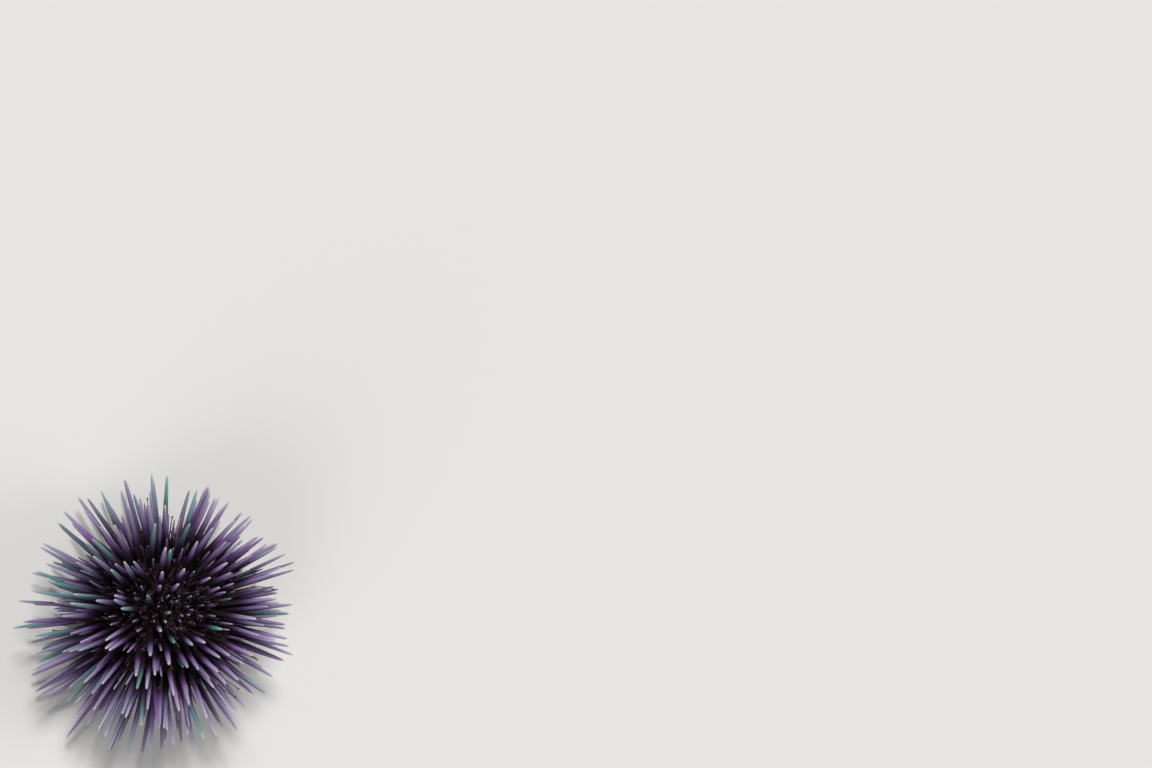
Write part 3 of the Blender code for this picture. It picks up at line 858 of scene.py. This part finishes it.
collar = {
    "sides": 12,
    "rings": ((0.0, 2.1), (0.2, 1.72), (0.42, 1.42), (0.66, 1.22), (0.88, 1.13), (1.0, 0.96)),
    "reach": 1.7,  # of the spine's radius, and a little more
    "more": 0.2 * mm,
    "sunk": 0.45 * mm,
}
collars = [{
    "root": spine["root"], "aim": spine["aim"], "radius": spine["radius"], "sunk": collar["sunk"],
    "reach": collar["reach"] * spine["radius"] + collar["more"],
} for spine in mainSpines]
collarForm = pulledForm(collar["sides"], collar["rings"])
manyOf("spine_collars", collarForm, collars, flesh["spine_muscle"], "interambulacral_spines")
print("collars made")


# Small spines between the main ones

small = {
    "row": 1.55 * mm,
    "firstRow": 0.6 * mm,
    "lastRow": 0.9 * mm,
    "across": 1.6 * mm,
    "scatter": 0.45 * mm,
    "clearance": 0.06 * mm,
    "tallShare": 0.34,
    "tall": (4.5 * mm, 10.5 * mm),
    "short": (1.2 * mm, 3.0 * mm),
    "tallRadius": (0.27 * mm, 0.42 * mm),
    "shortRadius": (0.14 * mm, 0.2 * mm),
    "tallRings": ((0.0, 0.9), (0.15, 1.0), (0.6, 0.7), (0.94, 0.38), (1.0, 0.12)),
    "shortRings": ((0.0, 1.0), (0.6, 0.85), (1.0, 0.3)),
    "sunk": 0.35 * mm,
    "stray": 0.12,
    "gather": 0.5,  # how far the tall ones lean into the bundles
    "ofFloor": (0.5, 0.85),
    "toneVaries": 0.5,
    "teal": 0.3,
    "seed": 23,
}


def growSmall(rng):
    made = []
    scatter = small["scatter"]
    for t in meridianRows(small["row"], small["firstRow"], small["lastRow"]):
        radius = meridian(t)[0]
        count = round(tau * radius / small["across"])
        start = rng.uniform(0, tau)
        for step in range(count):
            turn = start + tau * step / count + rng.uniform(-1, 1) * scatter / radius
            place = t + rng.uniform(-1, 1) * scatter / body["testRadius"]
            kind = "tall" if rng.random() < small["tallShare"] else "short"
            thick = rng.uniform(*small[kind + "Radius"])
            length = rng.uniform(*small[kind])
            straight = toward(outwardPolar(place), turn)
            lean = Vector([rng.gauss(0, small["stray"]) for _ in range(3)])
            if kind == "tall":
                nearest = max(gatheredBundles, key=lambda bundle: straight.dot(bundle[0]))[0]
                lean += small["gather"] * (nearest - straight)
            grown = {
                "root": onTest(place, turn), "straight": straight, "lean": lean, "ease": 1.0,
                "radius": thick, "length": length, "kind": kind, "sunk": small["sunk"],
                "foot": False, "short": rng.uniform(*small["ofFloor"]),
                "toneAndShade": within(rng.gauss(0, small["toneVaries"]), -1.0),
                "teal": rng.uniform(0, small["teal"]), "worn": rng.random(),
                "spin": rng.uniform(0, anyTurn),
            }
            settle(grown)
            made.append(grown)
    return made


def clearOf(grown, others, clearance):  # leaves out what would run into one of the others
    nearBy, taper = 14 * mm, 0.5
    roots, runs, thick = asArrays(grown)
    oRoots, oRuns, oThick = asArrays(others)
    kept = []
    for index, one in enumerate(grown):
        near = np.linalg.norm(oRoots - roots[index], axis=1) < nearBy
        s, t, between = closest(roots[[index]], runs[[index]], oRoots[near], oRuns[near])
        wanted = thick[index] * (1 - taper * s) + oThick[near] * (1 - taper * t) + clearance
        if (between > wanted).all():
            kept.append(one)
    return kept


def ofKind(grown, kind):
    return [one for one in grown if one["kind"] == kind]


grownSmall = clearOf(growSmall(random.Random(small["seed"])), mainSpines, small["clearance"])
for kind, sides in (("tall", 6), ("short", 5)):
    form = pulledForm(sides, small[kind + "Rings"])
    some = ofKind(grownSmall, kind)
    manyOf(f"small_spines_{kind}", form, some, smallFinish, "interambulacral_spines")
    print(f"small spines: {len(some)} {kind}")


# Apical disc: five genital plates, five small ocular plates between them, and the crumbs round the vent

apical = {
    "genital": 1.22 * mm,
    "genitalPlace": 2.55 * mm,
    "sieve": 1.15,  # the sieve plate is this much bigger than the other genital plates
    "ocular": 0.62 * mm,
    "ocularPlace": 3.85 * mm,
    "deep": 0.8 * mm,
    "proud": 0.1 * mm,
    "edge": 0.2 * mm,
    "dimpleEdge": 0.08,
    "dimple": 0.12 * mm,
    "dome": 1.2,
    "crumbs": 16,
    "crumb": (0.16, 0.26),
    "ventRadius": 1.15 * mm,
    "crumbTurn": 2.4,
    "seed": 4,
}


def selectTop(made, least):
    sheet = bmesh.from_edit_mesh(made.data)
    for face in sheet.faces:
        face.select = face.normal.z > 0.9 and face.calc_area() > least
    bmesh.update_edit_mesh(made.data)


def plate(name, sides, radius, place, turn, dimple):  # a bevelled plate with a dimple in its top
    made = addShape("cylinder", name, vertices=sides, radius=radius, depth=apical["deep"], location=(0, 0, 0))
    selectAll()
    selectTop(made, 0)
    bpy.ops.mesh.bevel(offset=apical["edge"], segments=3, affect="EDGES")
    bpy.ops.mesh.select_all(action="DESELECT")
    selectTop(made, 0.2 * radius * radius)
    bpy.ops.mesh.inset(thickness=radius * dimple, depth=0)
    bpy.ops.mesh.inset(thickness=radius * apical["dimpleEdge"], depth=-apical["dimple"])
    leaveEdit()
    height = meridian(asin(place / body["testRadius"]))[1] + apical["proud"]
    made.rotation_euler = (0, atan2(place, body["testRadius"]) * apical["dome"], turn)
    made.location = roundAxis(place, turn, height)
    bpy.context.view_layer.update()
    made.data.transform(made.matrix_world)
    made.matrix_world = Matrix.Identity(4)
    return made


apicalParts = []
for number in bandNumbers:
    wide = apical["genital"] * (apical["sieve"] if number == 1 else 1.0)
    turn = bandAzimuth(number + 0.5)
    apicalParts.append(plate(f"genital_plate_{number}", 6, wide, apical["genitalPlace"], turn, 0.55))
    turn += pi / body["bands"]
    apicalParts.append(plate(f"ocular_plate_{number}", 5, apical["ocular"], apical["ocularPlace"], turn, 0.5))
crumbRng = random.Random(apical["seed"])
for number in range(apical["crumbs"]):
    place = apical["ventRadius"] * sqrt((number + 0.5) / apical["crumbs"])
    wide = crumbRng.uniform(*apical["crumb"]) * mm
    turn = number * apical["crumbTurn"]
    apicalParts.append(plate(f"vent_plate_{number + 1}", 5, wide, place, turn, 0.4))
startClean()
for part in apicalParts:
    part.select_set(True)
apicalPlates = apicalParts[0]
bpy.context.view_layer.objects.active = apicalPlates
bpy.ops.object.join()
apicalPlates.name = apicalPlates.data.name = "apical_plates"
apicalPlates.data.transform(Matrix.Translation(bodyShift))
smoothAll(apicalPlates, 40)
finishPiece(apicalPlates, flesh["apical_skin"], "apical_plates", "apical_disc")
print(f"apical plates: {len(apicalPlates.data.polygons)} faces")


# The soft membrane round the mouth, with its lip and folds

mouth = {
    "around": 150,
    "merge": 0.01 * mm,
    "folds": 34,
    "foldDeep": 0.16 * mm,
    "foldWave": 1.1 * mm,
    "foldsFrom": (2.4 * mm, 1.5 * mm),  # the radius where they start, and how far they take to deepen
    "foldsTo": (8.3 * mm, 1.2 * mm),
    "rings": (4.8 * mm, 8.0 * mm),
    "ringApart": 0.95 * mm,
    "profile": (  # radius, height from the rim, in mm
        (8.75, 0.10), (8.2, 0.16), (7.4, 0.06), (6.6, -0.02), (5.8, -0.06), (5.1, -0.14), (4.6, -0.36),
        (4.2, -0.68), (3.8, -0.90), (3.4, -0.94), (3.05, -0.80), (2.85, -0.45), (2.75, 0.05), (2.65, 0.9),
        (2.3, 1.5), (1.2, 1.9), (0.0, 2.0),
    ),
}
profile = [(radius * mm, mouthRim + height * mm) for radius, height in mouth["profile"]]
halfSection = profile[:1]
for here, there in zip(profile, profile[1:]):  # each step in two
    halfSection += [((here[0] + there[0]) / 2, (here[1] + there[1]) / 2), there]
membrane = spun("mouth_membrane_skin", halfSection, mouth["around"], mouth["merge"])
points = pointsOf(membrane)
far, turns = np.hypot(points[:, 0], points[:, 1]), np.arctan2(points[:, 1], points[:, 0])
ripple = np.cos(mouth["folds"] * turns + 3 * np.sin(far / mouth["foldWave"]))
ripple *= np.clip((far - mouth["foldsFrom"][0]) / mouth["foldsFrom"][1], 0, 1)
ripple *= np.clip((mouth["foldsTo"][0] - far) / mouth["foldsTo"][1], 0, 1)
rings = 0.5 * np.cos(far * tau / mouth["ringApart"] + 0.8 * np.sin(5 * turns))
rings *= (far > mouth["rings"][0]) * (far < mouth["rings"][1])
points[:, 2] += mouth["foldDeep"] * (ripple + rings)
setPoints(membrane, points + np.array(bodyShift))
if np.mean([p.normal.z for p in membrane.data.polygons if p.center.z < mouthRim]) > 0:
    membrane.data.flip_normals()
membrane.data.shade_smooth()
finishPiece(membrane, flesh["mouth_skin"], "mouth_membrane", "mouth_membrane")


# Tube feet: five double rows up the body, and five pairs of stout ones on the membrane

feet = {
    "rows": 1.3 * mm,
    "firstRow": 1.5 * mm,
    "lastRow": 1.0 * mm,
    "share": 0.66,
    "columns": (0.5, 0.82),  # across half a band
    "columnScatter": 0.02,
    "scatter": 0.26,
    "short": {"length": (4.0 * mm, 9.5 * mm), "radius": (0.19 * mm, 0.26 * mm)},
    "long": {"length": (12.0 * mm, 21.0 * mm), "radius": (0.14 * mm, 0.18 * mm)},
    "longShare": 0.3,
    "longFrom": radians(50),
    "ofFloor": 0.85,
    "sunk": 0.2 * mm,
    "bow": 0.13,
    "wave": 0.05,
    "bend": (0.2, 1),
    "tries": 8,
    "clearance": 0.04 * mm,
    "overFloor": 0.5 * mm,
    "inside": 46 * mm,  # the tips of the spines reach a little further
    "seed": 31,
    "shortRings": (
        (0.0, 1.4), (0.05, 1.08), (0.12, 0.9), (0.25, 0.8), (0.38, 0.86), (0.5, 0.8), (0.62, 0.84),
        (0.74, 0.78), (0.84, 0.84), (0.9, 1.15), (0.94, 1.8), (0.97, 2.0), (0.99, 1.8), (1.0, 1.1),
    ),
    "longRings": (
        (0.0, 1.6), (0.03, 1.15), (0.08, 0.95), (0.16, 0.86), (0.24, 0.9), (0.32, 0.84), (0.4, 0.88),
        (0.48, 0.82), (0.56, 0.86), (0.64, 0.8), (0.72, 0.84), (0.8, 0.78), (0.88, 0.82), (0.94, 0.95),
        (0.965, 1.35), (0.98, 1.9), (0.99, 1.95), (0.996, 1.7), (1.0, 1.0),
    ),
}


def findsRoom(grown, roots, runs, thick):  # clear of spines and floor, and inside the reach of the spines
    share = np.linspace(0.12, 1, 12)[:, None]  # points along the bent foot, past its root
    points = np.array(grown["root"]) + share * grown["reach"] * np.array(grown["aim"])
    points += 4 * share * (1 - share) * np.array(grown["bow"])
    points += np.sin(tau * share) * np.array(grown["wave"])
    furthest = np.hypot(points[:, 0], points[:, 1]).max()
    if points[:, 2].min() < feet["overFloor"] or furthest > feet["inside"]:
        return False
    offset = points[:, None] - roots[None]
    share = np.clip((offset * runs).sum(2) / (runs * runs).sum(1), 0, 1)
    between = np.linalg.norm(offset - share[..., None] * runs, axis=2)
    wanted = thick * (1 - 0.4 * share) + grown["radius"] + feet["clearance"]
    return bool((between > wanted).all())


def growFoot(rng, t, turn, kind, others):  # tries a few ways out between the spines
    grown = {
        "root": onTest(t, turn), "lean": Vector((0, 0, 0)), "ease": 0.0, "foot": False,
        "short": feet["ofFloor"], "sunk": feet["sunk"], "radius": rng.uniform(*feet[kind]["radius"]),
        "spin": rng.uniform(0, anyTurn), "kind": kind,
    }
    for _ in range(feet["tries"]):
        stray = Vector([rng.gauss(0, feet["scatter"]) for _ in range(3)])
        grown["straight"] = (toward(outwardPolar(t), turn) + stray).normalized()
        grown["length"] = rng.uniform(*feet[kind]["length"])
        settle(grown)
        side = grown["aim"].orthogonal().normalized()
        for bend in ("bow", "wave"):
            side.rotate(Matrix.Rotation(rng.uniform(0, anyTurn), 3, grown["aim"]))
            grown[bend] = side * grown["reach"] * feet[bend] * rng.uniform(*feet["bend"])
        if findsRoom(grown, *others):
            return [grown]
    return []


def growFeet(rng):
    others = asArrays(mainSpines)
    scatter = feet["columnScatter"]
    made = []
    for number in bandNumbers:
        for row, t in enumerate(meridianRows(feet["rows"], feet["firstRow"], feet["lastRow"])):
            for side in (-1, 1):
                if rng.random() > feet["share"]:
                    continue
                kind = "long" if rng.random() < feet["longShare"] and t > feet["longFrom"] else "short"
                across = feet["columns"][row % 2] * body["ambulacrumHalf"] + rng.uniform(-scatter, scatter)
                made += growFoot(rng, t, bandAzimuth(number) + side * across, kind, others)
    return made


tubeFeet = growFeet(random.Random(feet["seed"]))
for kind, name in (("short", "tube_feet"), ("long", "tube_feet_stretched")):
    form = pulledForm(8, feet[kind + "Rings"])
    some = ofKind(tubeFeet, kind)
    manyOf(name, form, some, flesh["tube_foot_skin"], "ambulacral_spines")
    print(f"tube feet: {len(some)} {kind}")

stout = {
    "place": 6.2 * mm,
    "height": 0.2 * mm,
    "turn": radians(12),  # each side of its ambulacrum's middle
    "polar": radians(172),
    "reach": 1.9 * mm,
    "radius": 0.62 * mm,
    "sunk": 0.4 * mm,
    "rings": ((0.0, 1.2), (0.15, 1.05), (0.5, 0.86), (0.8, 0.84), (0.9, 1.1), (0.97, 1.2), (1.0, 0.9)),
}
stoutFeet = []
for number in bandNumbers:
    for side in (-1, 1):
        turn = bandAzimuth(number) + side * stout["turn"]
        stoutFeet.append({
            "root": roundAxis(stout["place"], turn, mouthRim + stout["height"]),
            "aim": toward(stout["polar"], turn), "reach": stout["reach"],
            "radius": stout["radius"], "sunk": stout["sunk"],
        })
stoutForm = pulledForm(12, stout["rings"])
manyOf("mouth_feet", stoutForm, stoutFeet, flesh["mouth_skin"], "mouth_membrane")
print(f"stout feet on the membrane: {len(stoutFeet)}")


# Tiny pincers on stalks between the spines

pincers = {
    "row": 2.3 * mm,
    "margin": 0.8 * mm,
    "across": 2.4 * mm,
    "scatter": 0.04,
    "stray": 0.22,
    "length": (1.6 * mm, 3.6 * mm),
    "radius": (0.2 * mm, 0.27 * mm),
    "sunk": 0.2 * mm,
    "clearance": 0.02 * mm,
    "rings": ((0.0, 0.42), (0.35, 0.3), (0.74, 0.3), (0.8, 0.95), (0.88, 1.1), (0.95, 0.85), (1.0, 0.3)),
    "seed": 47,
}


def growPincers(rng):
    made = []
    scatter = pincers["scatter"]
    for t in meridianRows(pincers["row"], pincers["margin"], pincers["margin"]):
        count = round(tau * meridian(t)[0] / pincers["across"])
        for step in range(count):
            turn = tau * (step + rng.uniform(0, 1)) / count
            place = t + rng.uniform(-scatter, scatter)
            stray = Vector([rng.gauss(0, pincers["stray"]) for _ in range(3)])
            made.append({
                "root": onTest(place, turn), "aim": (toward(outwardPolar(place), turn) + stray).normalized(),
                "reach": rng.uniform(*pincers["length"]), "radius": rng.uniform(*pincers["radius"]),
                "sunk": pincers["sunk"], "spin": rng.uniform(0, anyTurn),
            })
    return made


stalked = clearOf(growPincers(random.Random(pincers["seed"])), mainSpines, pincers["clearance"])
pincerForm = pulledForm(5, pincers["rings"])
manyOf("pincers", pincerForm, stalked, flesh["pincer_flesh"], "interambulacral_spines")
print(f"pincers: {len(stalked)}")


# The five teeth, chisels that meet in the middle of the mouth

tooth = {
    "long": 3.4 * mm,
    "wide": 1.15 * mm,
    "thick": 0.8 * mm,
    "edge": 0.16 * mm,
    "keel": 0.14 * mm,
    "keelWide": 0.3,  # of the tooth's width
    "thinner": 0.3,  # at the tip
    "narrower": 0.42,
    "place": 1.45 * mm,
    "inward": 0.75 * mm,
    "proud": 0.6 * mm,
}
for number in bandNumbers:
    made = addShape("cube", f"tooth_chisel_{number}", size=1, location=(0, 0, 0))
    made.scale = (tooth["thick"], tooth["wide"], tooth["long"])
    bpy.ops.object.transform_apply(location=False, rotation=False, scale=True)
    selectAll()
    bpy.ops.mesh.bevel(offset=tooth["edge"], segments=3, affect="EDGES")
    selectAll()
    bpy.ops.mesh.subdivide(number_cuts=3)
    leaveEdit()
    points = pointsOf(made)
    down = np.clip(0.5 - points[:, 2] / tooth["long"], 0, 1)
    keel = np.clip(1 - np.abs(points[:, 1]) / (tooth["keelWide"] * tooth["wide"]), 0, 1)
    points[:, 0] += tooth["keel"] * keel * np.where(points[:, 0] < 0, -1, 0.4)
    points[:, 0] *= 1 - tooth["thinner"] * down
    points[:, 1] *= 1 - tooth["narrower"] * down
    points[:, 0] += tooth["place"] - tooth["inward"] * down**1.6
    points[:, 2] += mouthRim + tooth["proud"] - body["gap"] - tooth["long"] / 2
    setPoints(made, points)
    turn = Matrix.Rotation(bandAzimuth(number + 0.5), 4, "Z")
    made.data.transform(Matrix.Translation(bodyShift) @ turn)
    smoothAll(made, 35)
    finishPiece(made, flesh["tooth_ivory"], "teeth", f"tooth_{number}")
print("teeth made")


# Floor, lights and camera

stage = {
    "floor": (0.48, 0.476, 0.4675),
    "size": 60.0,
    "world": (1.0, 0.985, 0.957),
    "worldStrength": 0.12,
    "worldSeen": 0.795,
    "lights": (  # name, place, width in degrees, strength, colour
        ("key_light", (-0.37, 1.3, 2.0), 16, 4.1, (1.0, 0.985, 0.97)),
        ("fill_light", (-1.3, -1.4, 0.9), 35, 1.8, (0.97, 0.98, 1.0)),
        ("side_light", (1.9, -0.3, 0.8), 35, 1.8, (1.0, 1.0, 1.0)),
    ),
}
floor = addShape("plane", "studio_floor", size=stage["size"], location=(0, 0, 0))
floorFinish, floorTree, floorShader = newMaterial("studio_floor")
floorLook = {"Base Color": stage["floor"], "Roughness": 0.85, "Specular IOR Level": 0.0}
setInputs(floorTree, floorShader, floorLook)
floor.data.materials.append(floorFinish)

world = bpy.context.scene.world or bpy.data.worlds.new("studio")
bpy.context.scene.world = world
world.use_nodes = True
air = world.node_tree
seen = addNode(air, "LightPath", {}).outputs["Is Camera Ray"]
fill = stage["worldStrength"]  # the world is pale where it is seen, and only a low fill
strength = maths(air, "MULTIPLY_ADD", seen, stage["worldSeen"] - fill, fill)
setInputs(air, air.nodes["Background"], {"Color": stage["world"], "Strength": strength})

for name, place, wide, strength, colour in stage["lights"]:  # so broad that the floor is evenly lit
    data = bpy.data.lights.new(name, "SUN")
    data.angle = radians(wide)
    data.energy = strength
    data.color = colour
    made = bpy.data.objects.new(name, data)
    bpy.context.scene.collection.objects.link(made)
    made.location = place
    made.rotation_euler = Vector(place).to_track_quat("Z", "Y").to_euler()

photo = {  # where the animal stands in the photo, in pixels, and how it is seen
    "width": 1152,
    "height": 768,
    "x": 161.0,
    "y": 611.5,
    "focal": 1120.0,
    "distance": 0.450,
    "tilt": radians(18),
    "side": radians(192),
}


def lookAlong(back):  # turns a camera so that it looks against back, with +Y up in the picture
    across = Vector((0, 1, 0)).cross(back).normalized()
    return Matrix((across, back.cross(across), back)).transposed()


back = toward(photo["tilt"], photo["side"])
right = (photo["x"] - photo["width"] / 2) / photo["focal"]
up = (photo["height"] / 2 - photo["y"]) / photo["focal"]
inFrame = lookAlong(-Vector((right, up, -1)).normalized())
lens = bpy.data.cameras.new("photo_camera")
lens.sensor_width = 36
lens.lens = lens.sensor_width * photo["focal"] / photo["width"]
lens.clip_start = 0.01
camera = bpy.data.objects.new("photo_camera", lens)
bpy.context.scene.collection.objects.link(camera)
place = Vector((0, 0, body["level"])) + back * photo["distance"]
camera.matrix_world = Matrix.Translation(place) @ (lookAlong(back) @ inFrame.inverted()).to_4x4()
bpy.context.scene.camera = camera
bpy.context.scene.view_settings.view_transform = "Standard"
print("stage, lights and camera set")
